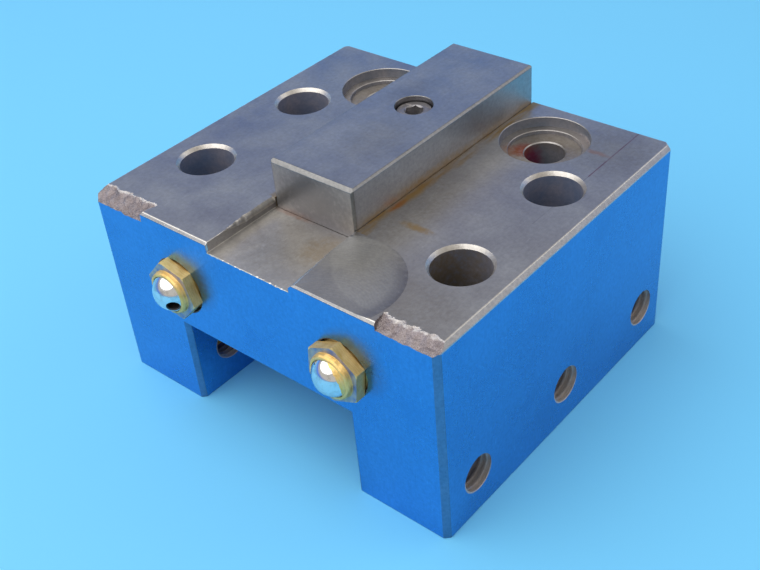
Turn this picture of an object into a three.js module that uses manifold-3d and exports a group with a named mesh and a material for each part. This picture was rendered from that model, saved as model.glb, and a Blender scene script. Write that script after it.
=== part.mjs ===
// Bolt-on turning-tool block for a lathe turret: an inverted-U steel block with a locating key,
// two coolant ports, two adjustable ball nozzles and six tool-clamping screws.
// Millimetres, +Z up, +X to the right, -Y is the front face that carries the nozzles.

import * as THREE from 'three';
import { mergeVertices } from 'three/addons/utils/BufferGeometryUtils.js';
import Module from 'manifold-3d';

const wasm = await Module();
wasm.setup();

// ---- driving dimensions -------------------------------------------------------------------

const BLOCK = { width: 100, depth: 88, height: 52 };
const CHANNEL = { width: 50, height: 24 };
const SLOT = { width: 24, depth: 2.5 };
const SIDE_TOP_CHAMFER = 1;
const FRONT_TOP_CHAMFER = 0.6;
const OUTER_CORNER_CHAMFER = 1.4;
const INNER_CORNER_CHAMFER = 1;

const KEY = { height: 12.5, setback: 21.4, length: 66.5, gap: 0.2, chamfer: 0.5 };
const KEY_SCREW = {
  y: 57, headRadius: 4.25, headLength: 5, headSunk: 1.2, shankRadius: 2.4, shankLength: 16,
  socketFlats: 4, socketDepth: 2.5, counterboreRadius: 4.5, holeRadius: 2.7,
};

const BOLT_HOLE = { x: 37.4, rows: [24.3, 57.8], radius: 6.5, mouthRadius: 7.2, mouthDepth: 1.2 };
const PORT = {
  x: 24.4, y: 74.3, outerRadius: 10.6, outerDepth: 2.5, innerRadius: 8.65, innerDepth: 3.5, boreRadius: 4.8,
};
const PASSAGE = { z: 35.4, radius: 4, end: 78 };

const CLAMP = {
  z: 10.6, rows: { front: 11.4, middle: 44.95, rear: 78.5 }, holeRadius: 4.3, screwRadius: 4.1,
  screwLength: 11.5, sunk: 6.5, socketFlats: 5, socketDepth: 5, endChamfer: 0.8,
  padRadius: 3.5, padThickness: 1.7, padGap: 0.3, stemRadius: 1.7, stemLength: 3.2, stemClearance: 0.25,
};

// The nozzle's lengths run along its axis, from the block's front face into the block.
const NOZZLE = {
  boreRadius: 7, boreDepth: 7.1, mouthRadius: 7.9, mouthDepth: 0.9,
  hexFlats: 12.9, hexThickness: 2.6, threadRadius: 6.75, threadEnd: 6.8, insideRadius: 5.2,
  lipEnd: -3.7, lipBaseRadius: 5.25, lipTipRadius: 4.95,
  ballRadius: 4.95, ballCentre: -1.7, ballClearance: 0.1,
  jetRadius: 1.4, jetFlat: 4.6, inletRadius: 2.75,
  seatRadius: 5, seatBore: 3, seatEdge: 4.6, seatEnd: 4.9,
  ringRadius: 4.1, ringSection: 0.95, ringY: 6,
};
// Each ball points its jet at the tool in the middle of the channel, and down towards its tip.
const JET_YAW = THREE.MathUtils.degToRad(42);
const JET_PITCH = THREE.MathUtils.degToRad(-18);
const HEX_TURN = { left: 47.7, right: 24.1 };

// Corners broken in service: the height lost on the front face and the depth lost on the top face.
const LEFT_CHIP = { from: -BLOCK.width / 2, to: -32.2, drop: 2.7, run: 4.2, lean: 1.4 };
const RIGHT_CHIP = { from: 34.2, to: BLOCK.width / 2, drop: 1.6, run: 3.9, lean: 0.6 };
const WORN_EDGE = { width: 1.7, drop: 1.1, start: 18 };
const GROUND_SPOT = { x: 19.3, y: 8.7, radius: 14, depth: 0.2 };

const BEYOND = 2;
const FINE = 32;
const COARSE = 20;
const ARC_STEPS = 4;

const halfWidth = BLOCK.width / 2;
const top = BLOCK.height;
const slotFloor = top - SLOT.depth;
const nozzleReach = NOZZLE.ballRadius - NOZZLE.ballCentre;

// ---- solids -------------------------------------------------------------------------------

const AXIS_X = new THREE.Vector3(1, 0, 0);
const AXIS_Y = new THREE.Vector3(0, 1, 0);
const AXIS_Z = new THREE.Vector3(0, 0, 1);

// Outlines along x are (y, z) points, along y they are (x, z) points, and along z they are (x, y).
const PRISM_BASIS = {
  x: new THREE.Matrix4().makeBasis(AXIS_Y, AXIS_Z, AXIS_X),
  y: new THREE.Matrix4().makeBasis(AXIS_X, AXIS_Z, AXIS_Y.clone().negate()),
  z: new THREE.Matrix4(),
};

function solidOf(geometry) {
  geometry.deleteAttribute('normal');
  geometry.deleteAttribute('uv');
  const merged = mergeVertices(geometry, 1e-4);
  return new wasm.Manifold(new wasm.Mesh({
    numProp: 3,
    vertProperties: merged.attributes.position.array,
    triVerts: merged.index.array,
  }));
}

function geometryOf(solid) {
  const { vertProperties, triVerts } = solid.getMesh();
  const geometry = new THREE.BufferGeometry();
  geometry.setAttribute('position', new THREE.BufferAttribute(vertProperties, 3));
  geometry.setIndex(new THREE.BufferAttribute(triVerts, 1));
  geometry.computeVertexNormals();
  return geometry;
}

function prism(axis, outline, from, to) {
  const shape = new THREE.Shape(outline.map(([u, v]) => new THREE.Vector2(u, v)));
  const geometry = new THREE.ExtrudeGeometry(shape, { depth: to - from, bevelEnabled: false });
  geometry.translate(0, 0, axis === 'y' ? -to : from);
  return solidOf(geometry.applyMatrix4(PRISM_BASIS[axis]));
}

function box([x0, x1], [y0, y1], [z0, z1]) {
  const geometry = new THREE.BoxGeometry(x1 - x0, y1 - y0, z1 - z0);
  return solidOf(geometry.translate((x0 + x1) / 2, (y0 + y1) / 2, (z0 + z1) / 2));
}

// A turned solid: the profile is (radius, height) from the foot of the axis to its top.
function turned(profile, segments = FINE) {
  const points = profile.map(([radius, height]) => new THREE.Vector2(radius, height));
  return new THREE.LatheGeometry(points, segments);
}

function lyingAlong(direction, geometry, [x, y, z]) {
  const turn = new THREE.Quaternion().setFromUnitVectors(AXIS_Y, direction);
  return solidOf(geometry.applyQuaternion(turn).translate(x, y, z));
}

function arc(centre, radius, from, to, steps) {
  return Array.from({ length: steps + 1 }, (_, i) => {
    const angle = from + (to - from) * i / steps;
    return [radius * Math.sin(angle), centre + radius * Math.cos(angle)];
  });
}

function hexagon(flats, turn = 0) {
  return Array.from({ length: 6 }, (_, i) => {
    const angle = turn + i * Math.PI / 3;
    return [flats / Math.sqrt(3) * Math.cos(angle), flats / Math.sqrt(3) * Math.sin(angle)];
  });
}

function cutAll(solid, cutters) {
  return cutters.reduce((left, cutter) => left.subtract(cutter), solid);
}

// ---- materials ----------------------------------------------------------------------------

const STEEL = { color: 0x6f747c, roughness: 0.45, metalness: 0.9 };
const KEY_STEEL = { color: 0x7c7f86, roughness: 0.4, metalness: 0.9 };
const DARK_STEEL = { color: 0x3a3a3d, roughness: 0.5, metalness: 0.8 };
const BRASS = { color: 0xb8934f, roughness: 0.35, metalness: 1 };
const BALL_STEEL = { color: 0xd4d6d8, roughness: 0.12, metalness: 1 };
const SEAT_PLASTIC = { color: 0xe6e2d6, roughness: 0.5, metalness: 0 };
const RUBBER = { color: 0x1c1c1d, roughness: 0.8, metalness: 0 };

function piece(name, solid, finish) {
  const mesh = new THREE.Mesh(geometryOf(solid), new THREE.MeshStandardMaterial(finish));
  mesh.name = name;
  return mesh;
}

// ---- tool block ---------------------------------------------------------------------------

// The front outline: two legs under a bridge, with the key slot open along the top.
function blockBlank() {
  const inner = CHANNEL.width / 2;
  const slot = SLOT.width / 2;
  const halfOutline = [
    [inner, 0], [halfWidth, 0], [halfWidth, top - SIDE_TOP_CHAMFER], [halfWidth - SIDE_TOP_CHAMFER, top],
    [slot, top], [slot, slotFloor],
  ];
  const mirrored = halfOutline.map(([x, z]) => [-x, z]).reverse();
  const outline = [[inner, CHANNEL.height], ...halfOutline, ...mirrored, [-inner, CHANNEL.height]];
  return prism('y', outline, 0, BLOCK.depth);
}

function frontTopChamfer() {
  const c = FRONT_TOP_CHAMFER;
  const corner = [-BEYOND, top + BEYOND];
  const outline = [[-BEYOND, top - c - BEYOND], [c + BEYOND, top + BEYOND], corner];
  return prism('x', outline, -halfWidth - BEYOND, halfWidth + BEYOND);
}

// A vertical corner is cut by a triangle whose long side crosses the corner at 45 degrees.
function verticalChamfer(x, y, towardsX, towardsY, size) {
  const outline = [
    [x + towardsX * (size + BEYOND), y - towardsY * BEYOND],
    [x - towardsX * BEYOND, y - towardsY * BEYOND],
    [x - towardsX * BEYOND, y + towardsY * (size + BEYOND)],
  ];
  return prism('z', towardsX * towardsY > 0 ? outline.reverse() : outline, -BEYOND, top + BEYOND);
}

function cornerChamfers() {
  const inner = CHANNEL.width / 2;
  return [-1, 1].flatMap((side) => [
    verticalChamfer(side * halfWidth, 0, -side, 1, OUTER_CORNER_CHAMFER),
    verticalChamfer(side * halfWidth, BLOCK.depth, -side, -1, OUTER_CORNER_CHAMFER),
    verticalChamfer(side * inner, 0, side, 1, INNER_CORNER_CHAMFER).trimByPlane([0, 0, -1], -CHANNEL.height),
  ]);
}

function boltHole(x, y) {
  const { radius, mouthRadius, mouthDepth } = BOLT_HOLE;
  const profile = [
    [0, -BEYOND], [mouthRadius, -BEYOND], [mouthRadius, 0], [radius, mouthDepth],
    [radius, top - mouthDepth], [mouthRadius, top], [mouthRadius, top + BEYOND], [0, top + BEYOND],
  ];
  return lyingAlong(AXIS_Z, turned(profile), [x, y, 0]);
}

// Stepped seal seat on the top face over a bore that runs down to the coolant passage.
function port(x) {
  const profile = [
    [0, PASSAGE.z - PASSAGE.radius], [PORT.boreRadius, PASSAGE.z - PASSAGE.radius],
    [PORT.boreRadius, top - PORT.innerDepth], [PORT.innerRadius, top - PORT.innerDepth],
    [PORT.innerRadius, top - PORT.outerDepth], [PORT.outerRadius, top - PORT.outerDepth],
    [PORT.outerRadius, top + BEYOND], [0, top + BEYOND],
  ];
  return lyingAlong(AXIS_Z, turned(profile), [x, PORT.y, 0]);
}

// Nozzle bore with a countersunk mouth, and the coolant passage drilled on from its end.
function nozzleBore(x) {
  const { boreRadius, boreDepth, mouthRadius, mouthDepth } = NOZZLE;
  const profile = [
    [0, -BEYOND], [mouthRadius, -BEYOND], [mouthRadius, 0], [boreRadius, mouthDepth],
    [boreRadius, boreDepth], [PASSAGE.radius, boreDepth], [PASSAGE.radius, PASSAGE.end], [0, PASSAGE.end],
  ];
  return lyingAlong(AXIS_Y, turned(profile, COARSE), [x, 0, PASSAGE.z]);
}

function clampHoles(y) {
  const geometry = turned([
    [0, -halfWidth - BEYOND], [CLAMP.holeRadius, -halfWidth - BEYOND],
    [CLAMP.holeRadius, halfWidth + BEYOND], [0, halfWidth + BEYOND],
  ], COARSE);
  return lyingAlong(AXIS_X, geometry, [0, y, CLAMP.z]);
}

function keyScrewHole() {
  const foot = slotFloor - KEY_SCREW.shankLength + SLOT.depth;
  const profile = [
    [0, foot], [KEY_SCREW.holeRadius, foot], [KEY_SCREW.holeRadius, top + BEYOND], [0, top + BEYOND],
  ];
  return lyingAlong(AXIS_Z, turned(profile, COARSE), [0, KEY_SCREW.y, 0]);
}

// A broken corner is a sloping flat; its inner end leans across the edge.
function brokenCorner({ from, to, drop, run, lean }) {
  const slope = drop / run;
  const outline = [
    [-BEYOND, top - drop - BEYOND * slope], [run + BEYOND / slope, top + BEYOND], [-BEYOND, top + BEYOND],
  ];
  const wedge = prism('x', outline, from - BEYOND, to + BEYOND);
  const [left, leftLean] = from === -halfWidth ? [from - BEYOND, 0] : [from, lean];
  const [right, rightLean] = to === halfWidth ? [to + BEYOND, 0] : [to, lean];
  const plan = [
    [left + leftLean, -BEYOND], [right - rightLean, -BEYOND], [right, run + BEYOND], [left, run + BEYOND],
  ];
  return wedge.intersect(prism('z', plan, top - drop - 2 * BEYOND, top + BEYOND));
}

// The slot's right-hand edge is worn away towards the front.
function wornSlotEdge() {
  const { width, drop, start } = WORN_EDGE;
  const slot = SLOT.width / 2;
  const rise = drop / width;
  const outline = [
    [slot - BEYOND, top - drop - BEYOND * rise], [slot + width + BEYOND, top + BEYOND * rise],
    [slot - BEYOND, top + BEYOND * rise],
  ];
  const strip = prism('y', outline, 0, BLOCK.depth);
  const shear = new THREE.Matrix4().set(1, -width / start, 0, 0, 0, 1, 0, 0, 0, 0, 1, 0, 0, 0, 0, 1);
  return strip.transform(shear.elements).intersect(box([slot - 1, slot + 4], [-1, start], [slotFloor, top + 1]));
}

function groundSpot() {
  const { x, y, radius, depth } = GROUND_SPOT;
  const profile = [[0, top - depth], [radius, top - depth], [radius, top + BEYOND], [0, top + BEYOND]];
  return lyingAlong(AXIS_Z, turned(profile), [x, y, 0]);
}

function toolBlock() {
  const sides = [-1, 1];
  return cutAll(blockBlank(), [
    frontTopChamfer(),
    ...cornerChamfers(),
    ...sides.flatMap((side) => BOLT_HOLE.rows.map((y) => boltHole(side * BOLT_HOLE.x, y))),
    ...sides.flatMap((side) => [port(side * PORT.x), nozzleBore(side * PORT.x)]),
    ...Object.values(CLAMP.rows).map(clampHoles),
    keyScrewHole(),
    brokenCorner(LEFT_CHIP),
    brokenCorner(RIGHT_CHIP),
    wornSlotEdge(),
    groundSpot(),
  ]);
}

// ---- locating key and its screw ------------------------------------------------------------

const keyFoot = slotFloor + KEY.gap;
const keyTop = slotFloor + KEY.height;

function locatingKey() {
  const half = SLOT.width / 2 - KEY.gap;
  const c = KEY.chamfer;
  const back = KEY.setback + KEY.length;
  const across = prism('y', [
    [-half, keyFoot], [half, keyFoot], [half, keyTop - c], [half - c, keyTop], [c - half, keyTop], [-half, keyTop - c],
  ], KEY.setback, back);
  const along = prism('x', [
    [KEY.setback, keyFoot], [back, keyFoot], [back, keyTop - c], [back - c, keyTop],
    [KEY.setback + c, keyTop], [KEY.setback, keyTop - c],
  ], -half, half);
  const plan = prism('z', [
    [c - half, KEY.setback], [half - c, KEY.setback], [half, KEY.setback + c], [half, back - c],
    [half - c, back], [c - half, back], [-half, back - c], [-half, KEY.setback + c],
  ], keyFoot, keyTop);
  const seat = keyTop - KEY_SCREW.headSunk - KEY_SCREW.headLength;
  const hole = turned([
    [0, keyFoot - 1], [KEY_SCREW.holeRadius, keyFoot - 1], [KEY_SCREW.holeRadius, seat - KEY.gap],
    [KEY_SCREW.counterboreRadius, seat - KEY.gap], [KEY_SCREW.counterboreRadius, keyTop - KEY.gap],
    [KEY_SCREW.counterboreRadius + KEY.gap, keyTop], [KEY_SCREW.counterboreRadius + KEY.gap, keyTop + 1],
    [0, keyTop + 1],
  ]);
  return across.intersect(along).intersect(plan).subtract(lyingAlong(AXIS_Z, hole, [0, KEY_SCREW.y, 0]));
}

function keyScrew() {
  const headTop = keyTop - KEY_SCREW.headSunk;
  const seat = headTop - KEY_SCREW.headLength;
  const { headRadius, shankRadius, shankLength, socketFlats, socketDepth } = KEY_SCREW;
  const chamfer = 0.4;
  const profile = [
    [0, seat - shankLength], [shankRadius - chamfer, seat - shankLength], [shankRadius, seat - shankLength + chamfer],
    [shankRadius, seat], [headRadius, seat], [headRadius, headTop - chamfer], [headRadius - chamfer, headTop],
    [0, headTop],
  ];
  const blank = lyingAlong(AXIS_Z, turned(profile, COARSE), [0, 0, 0]);
  return blank.subtract(prism('z', hexagon(socketFlats), headTop - socketDepth, headTop + 1));
}

// ---- coolant nozzles -----------------------------------------------------------------------

// Around the nozzle's axis, +Y into the block: a hexagon with a lip in front and a thread behind.
function nozzleRetainer(turnDegrees) {
  const n = NOZZLE;
  const cavity = n.ballRadius + n.ballClearance;
  const openingAngle = Math.acos((n.lipEnd - n.ballCentre) / cavity);
  const body = turned([
    [0, n.lipEnd], [n.lipTipRadius, n.lipEnd], [n.lipBaseRadius, -n.hexThickness],
    [n.lipBaseRadius, 0], [n.threadRadius, 0.4], [n.threadRadius, n.threadEnd], [0, n.threadEnd],
  ]);
  const hex = prism('y', hexagon(n.hexFlats, THREE.MathUtils.degToRad(turnDegrees)), -n.hexThickness, 0);
  const waist = turned([[0, -1], [n.lipBaseRadius + 1, -1], [n.lipBaseRadius + 1, 1], [0, 1]]);
  const hollow = turned([
    [0, n.lipEnd - 1],
    [cavity * Math.sin(openingAngle), n.lipEnd - 1],
    ...arc(n.ballCentre, cavity, openingAngle, Math.PI / 2, ARC_STEPS),
    [n.insideRadius, n.ballCentre + 0.5], [n.insideRadius, n.threadEnd + 1], [0, n.threadEnd + 1],
  ]);
  return lyingAlong(AXIS_Y, body, [0, 0, 0])
    .add(hex)
    .add(lyingAlong(AXIS_Y, waist, [0, 0, 0]))
    .subtract(lyingAlong(AXIS_Y, hollow, [0, 0, 0]));
}

// The jet bore leaves along the given direction, and a wider inlet meets it from behind.
function nozzleBall(direction) {
  const n = NOZZLE;
  const ball = solidOf(new THREE.SphereGeometry(n.ballRadius, FINE, COARSE));
  const bore = turned([
    [0, -2 * n.ballRadius], [n.inletRadius, -2 * n.ballRadius], [n.inletRadius, -1], [n.jetRadius, 0.5],
    [n.jetRadius, 2 * n.ballRadius], [0, 2 * n.ballRadius],
  ], COARSE);
  const flat = turned([
    [0, n.jetFlat], [n.ballRadius, n.jetFlat], [n.ballRadius, 2 * n.ballRadius], [0, 2 * n.ballRadius],
  ], COARSE);
  return cutAll(ball, [bore, flat].map((cutter) => lyingAlong(direction, cutter, [0, 0, 0])));
}

function nozzleSeat() {
  const n = NOZZLE;
  const bowl = n.ballRadius + n.ballClearance;
  const rimAngle = Math.asin(n.seatEdge / bowl);
  const boreAngle = Math.asin(n.seatBore / bowl);
  const rimY = n.ballCentre + bowl * Math.cos(rimAngle);
  const profile = [
    ...arc(n.ballCentre, bowl, boreAngle, rimAngle, ARC_STEPS), [n.seatRadius, rimY], [n.seatRadius, n.seatEnd],
    [n.seatBore, n.seatEnd], [n.seatBore, n.ballCentre + bowl * Math.cos(boreAngle)],
  ];
  return lyingAlong(AXIS_Y, turned(profile, COARSE), [0, 0, 0]);
}

function nozzleSealRing() {
  const ring = new THREE.TorusGeometry(NOZZLE.ringRadius, NOZZLE.ringSection, 8, COARSE);
  return solidOf(ring.rotateX(Math.PI / 2).translate(0, NOZZLE.ringY, 0));
}

function jetDirection(side) {
  const level = Math.cos(JET_PITCH);
  return new THREE.Vector3(-side * level * Math.sin(JET_YAW), -level * Math.cos(JET_YAW), Math.sin(JET_PITCH));
}

function nozzle(label, side) {
  const group = new THREE.Group();
  group.position.set(side * PORT.x, 0, PASSAGE.z);
  const ball = piece(`${label}_nozzle_ball`, nozzleBall(jetDirection(side)), BALL_STEEL);
  ball.position.y = NOZZLE.ballCentre;
  group.add(
    piece(`${label}_nozzle_retainer`, nozzleRetainer(HEX_TURN[label]), BRASS),
    ball,
    piece(`${label}_nozzle_seat`, nozzleSeat(), SEAT_PLASTIC),
    piece(`${label}_nozzle_seal_ring`, nozzleSealRing(), RUBBER),
  );
  return group;
}

// ---- clamping screws -----------------------------------------------------------------------

// Around the screw's axis, +X the way it advances, from its socket end at 0.
function clampScrew() {
  const c = CLAMP;
  const profile = [
    [0, 0], [c.screwRadius - c.endChamfer, 0], [c.screwRadius, c.endChamfer],
    [c.screwRadius, c.screwLength - c.endChamfer], [c.screwRadius - c.endChamfer, c.screwLength],
    [0, c.screwLength],
  ];
  const stemHole = c.stemRadius + c.stemClearance;
  const hole = turned([
    [0, c.screwLength - c.stemLength], [stemHole, c.screwLength - c.stemLength],
    [stemHole, c.screwLength + 1], [0, c.screwLength + 1],
  ], COARSE);
  return lyingAlong(AXIS_X, turned(profile, COARSE), [0, 0, 0])
    .subtract(prism('x', hexagon(c.socketFlats), -1, c.socketDepth))
    .subtract(lyingAlong(AXIS_X, hole, [0, 0, 0]));
}

// The pad's stem turns in the screw's end, so the pad stays still against the tool.
function clampPad() {
  const c = CLAMP;
  const back = c.screwLength + c.padGap;
  const front = back + c.padThickness;
  const rim = 0.3;
  const profile = [
    [0, c.screwLength - c.stemLength + c.padGap], [c.stemRadius, c.screwLength - c.stemLength + c.padGap],
    [c.stemRadius, back], [c.padRadius, back], [c.padRadius, front - rim], [c.padRadius - rim, front], [0, front],
  ];
  return lyingAlong(AXIS_X, turned(profile, COARSE), [0, 0, 0]);
}

function clampSet(label, side, y) {
  const group = new THREE.Group();
  group.position.set(side * (halfWidth - CLAMP.sunk), y, CLAMP.z);
  group.rotation.z = side > 0 ? Math.PI : 0;
  group.add(
    piece(`${label}_clamp_screw`, clampScrew(), DARK_STEEL),
    piece(`${label}_clamp_pad`, clampPad(), BRASS),
  );
  return group;
}

// ---- assembly ------------------------------------------------------------------------------

// The origin is under the middle of the whole part, nozzles included, at the level of its feet.
const assembly = new THREE.Group();
assembly.position.y = (nozzleReach - BLOCK.depth) / 2;
const screw = piece('key_screw', keyScrew(), DARK_STEEL);
screw.position.y = KEY_SCREW.y;
assembly.add(
  piece('tool_block', toolBlock(), STEEL),
  piece('locating_key', locatingKey(), KEY_STEEL),
  screw,
);
for (const [label, side] of [['left', -1], ['right', 1]]) {
  assembly.add(nozzle(label, side));
  for (const [row, y] of Object.entries(CLAMP.rows)) {
    assembly.add(clampSet(`${label}_${row}`, side, y));
  }
}

const group = new THREE.Group();
group.name = 'turret_tool_block';
group.add(assembly);

export default group;
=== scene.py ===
import random
from math import acos, asin, ceil, cos, degrees, pi, radians, sin, sqrt

import bmesh
import bpy
from mathutils import Matrix, Vector, noise


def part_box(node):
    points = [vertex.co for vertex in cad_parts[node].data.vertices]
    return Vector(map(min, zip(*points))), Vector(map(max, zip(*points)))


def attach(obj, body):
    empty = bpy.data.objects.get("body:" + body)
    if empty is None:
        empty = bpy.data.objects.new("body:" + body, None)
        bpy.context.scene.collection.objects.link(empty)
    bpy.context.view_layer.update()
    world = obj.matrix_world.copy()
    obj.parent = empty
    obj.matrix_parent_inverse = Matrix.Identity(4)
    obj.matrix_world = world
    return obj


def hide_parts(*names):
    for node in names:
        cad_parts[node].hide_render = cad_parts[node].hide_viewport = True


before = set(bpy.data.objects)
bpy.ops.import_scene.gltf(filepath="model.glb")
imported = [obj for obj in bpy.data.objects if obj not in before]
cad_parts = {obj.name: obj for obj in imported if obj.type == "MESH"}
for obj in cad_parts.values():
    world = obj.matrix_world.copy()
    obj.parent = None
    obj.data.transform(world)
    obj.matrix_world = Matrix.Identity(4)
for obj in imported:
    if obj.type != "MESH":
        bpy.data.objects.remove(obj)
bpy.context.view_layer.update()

# A bolt-on turning-tool block for a lathe turret, standing on its feet with the keyed face upward.
# Shapes are worked out in millimetres in the block's own frame: x across from the middle, y from the
# front face into the block, z up from the feet. TO_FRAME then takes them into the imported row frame.

MM = 0.001
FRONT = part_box("tool_block")[0].y
TO_FRAME = Matrix.Translation((0, FRONT, 0)) @ Matrix.Scale(MM, 4)

# ---- dimensions in millimetres and degrees ----

WIDTH, DEPTH, HEIGHT = 100, 88, 52
CHANNEL_WIDTH, CHANNEL_HEIGHT = 50, 24
SLOT_WIDTH, SLOT_DEPTH = 24, 2.5
SLOT_FLOOR = HEIGHT - SLOT_DEPTH
SIDE_TOP_CHAMFER, FRONT_TOP_CHAMFER = 1, 0.6
OUTER_CORNER_CHAMFER, INNER_CORNER_CHAMFER = 1.15, 1
KNOCKED_CORNER, KNOCK_RADIUS = 1.1, 4
EDGE_BREAK, KEY_EDGE_BREAK = 0.16, 0.1

KEY_FRONT, KEY_BACK, KEY_HEIGHT, KEY_GAP = 21.4, 87.9, 12.5, 0.05
KEY_CHAMFER, KEY_FRONT_CHAMFER = 0.5, 0.8
KEY_TOP = SLOT_FLOOR + KEY_HEIGHT
KEY_SCREW_Y, KEY_SCREW_SUNK, KEY_SCREW_PITCH, KEY_SCREW_SOCKET = 57, 1.2, 0.8, 4
KEY_HEAD_HEIGHT, KEY_HEAD_RADIUS, KEY_HEAD_ROUND = 5, 4.25, 0.5
KEY_HOLE_RADIUS, COUNTERBORE_RADIUS, KEY_SHANK_RADIUS, KEY_SHANK_LENGTH = 2.7, 4.5, 2.4, 16

BOLT_X, BOLT_ROWS, BOLT_RADIUS, BOLT_MOUTH, BOLT_MOUTH_DEPTH = 37.4, (24.3, 57.8), 6.5, 7.05, 0.85
PORT_X, PORT_Y, PORT_BORE = 24.4, 74.3, 4.8
PORT_OUTER, PORT_OUTER_DEPTH, PORT_INNER, PORT_INNER_DEPTH = 10.6, 2.5, 8.65, 3.5
PASSAGE_Z, PASSAGE_RADIUS, PASSAGE_END = 35.4, 4, 78
HOLE_EASE, PORT_EASE, DRILL_POINT = 0.12, 0.25, 1.5

# A hand-ground spot beside the slot, and the ring that the grinder's second pass reached.
SPOT, SPOT_RADIUS, SPOT_DEPTH = (18.8, 6.1, HEIGHT), 15.3, 0.2
SECOND_PASS, SECOND_PASS_RADIUS = (30.1, 22.9, HEIGHT), 19.8

# The slot's right edge is worn back to WEAR_END, its left edge up to the key. The torn front corners'
# tools stand out past the block's sides by TORN_OVER, and are TORN_THICKNESS thick.
WEAR_START, WEAR_END = -1, 15
TORN_OVER, TORN_THICKNESS = 1.2, 3.5
DENT_SEED, FLOOR_DENT_PITCH, FOOT_DENT_PITCH, FRONT_DENT_PITCH = 7, 1.7, 16, 1.9

CLAMP_Z, CLAMP_ROWS = 10.6, {"front": 11.4, "middle": 44.95, "rear": 78.5}
CLAMP_PITCH, CLAMP_MINOR, CLAMP_MAJOR = 1.5, 4.3, 5.0
SCREW_MINOR, SCREW_MAJOR, SCREW_LENGTH, SCREW_SUNK = 4.12, 4.84, 11.5, 6.5
SCREW_END, SCREW_CHAMFER, SCREW_SOCKET = SCREW_SUNK + SCREW_LENGTH, 0.8, 5
STEM_RADIUS, STEM_LENGTH, PAD_RADIUS, PAD_THICKNESS, PAD_GAP, PAD_ROUND = 1.7, 3.2, 3.5, 1.7, 0.3, 0.3

# Crests and roots of threads, and the gap on each flank of a clamping screw, as shares of the pitch.
TAP_CREST, TAP_ROOT, SCREW_ROOT, FLANK_GAP = 0.22, 0.24, 0.3, 0.06
FINE_CREST, FINE_ROOT = 0.15, 0.25

NOZZLE_BORE, NOZZLE_BORE_DEPTH, NOZZLE_MOUTH, NOZZLE_MOUTH_DEPTH = 7, 7.1, 7.25, 0.25
HEX_FLATS, HEX_THICKNESS, HEX_TURN = 12.9, 2.6, {"left": 47.7, "right": 24.1}
LIP_END, LIP_TIP_RADIUS, LIP_BASE_RADIUS = -3.9, 4.95, 5.4
SHANK_END, SHANK_MAJOR, SHANK_MINOR, SHANK_INSIDE, SHANK_PITCH = 6.8, 6.75, 6.2, 5.2, 1
SHANK_CORE = SHANK_MINOR - 0.1
BALL_RADIUS, BALL_CENTRE, BALL_CLEARANCE = 4.95, -1.7, 0.1
BOWL_RADIUS = BALL_RADIUS + BALL_CLEARANCE
JET_YAW, JET_PITCH, JET_RADIUS, JET_FLAT, INLET_RADIUS = 42, -18, 1.4, 4.6, 2.75
SEAT_RADIUS, SEAT_BORE, SEAT_EDGE, SEAT_END, SEAT_EASE = 5, 3, 4.6, 4.9, 0.15
RING_RADIUS, RING_SECTION, RING_Y, RING_SIDES = 4.1, 0.9, 6, 20

# The torn tongue of the right lip: its ends round the nozzle, and its root and reach over the ball.
TONGUE_START, TONGUE_END, TONGUE_ROOT, TONGUE_REACH, TONGUE_STUB = -84, 36, 70, 17, 6
TONGUE_GAP, TONGUE_THICKNESS, TONGUE_TAPER = 0.05, 0.28, 0.16

BEYOND = 2  # how far a tool stands out of the face that it cuts
ROUND = 96  # sides of a large turned shape
FLAT_LIMIT = 0.985  # a face looks along an axis when its normal is at least this much along it
UPWARD = 0.2  # a broken edge is an upright one when its normal rises less than this
UP, INWARD = (0, 0, 1), (0, 1, 0)
SIDES = {"left": -1, "right": 1}
BOTH = tuple(SIDES.values())

# The order of the finishes in face_finishes.
SIDE, TOP, FLOOR, WALL, EDGE, CHAMFER, CORNER = range(7)


# ---- material nodes ----

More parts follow.
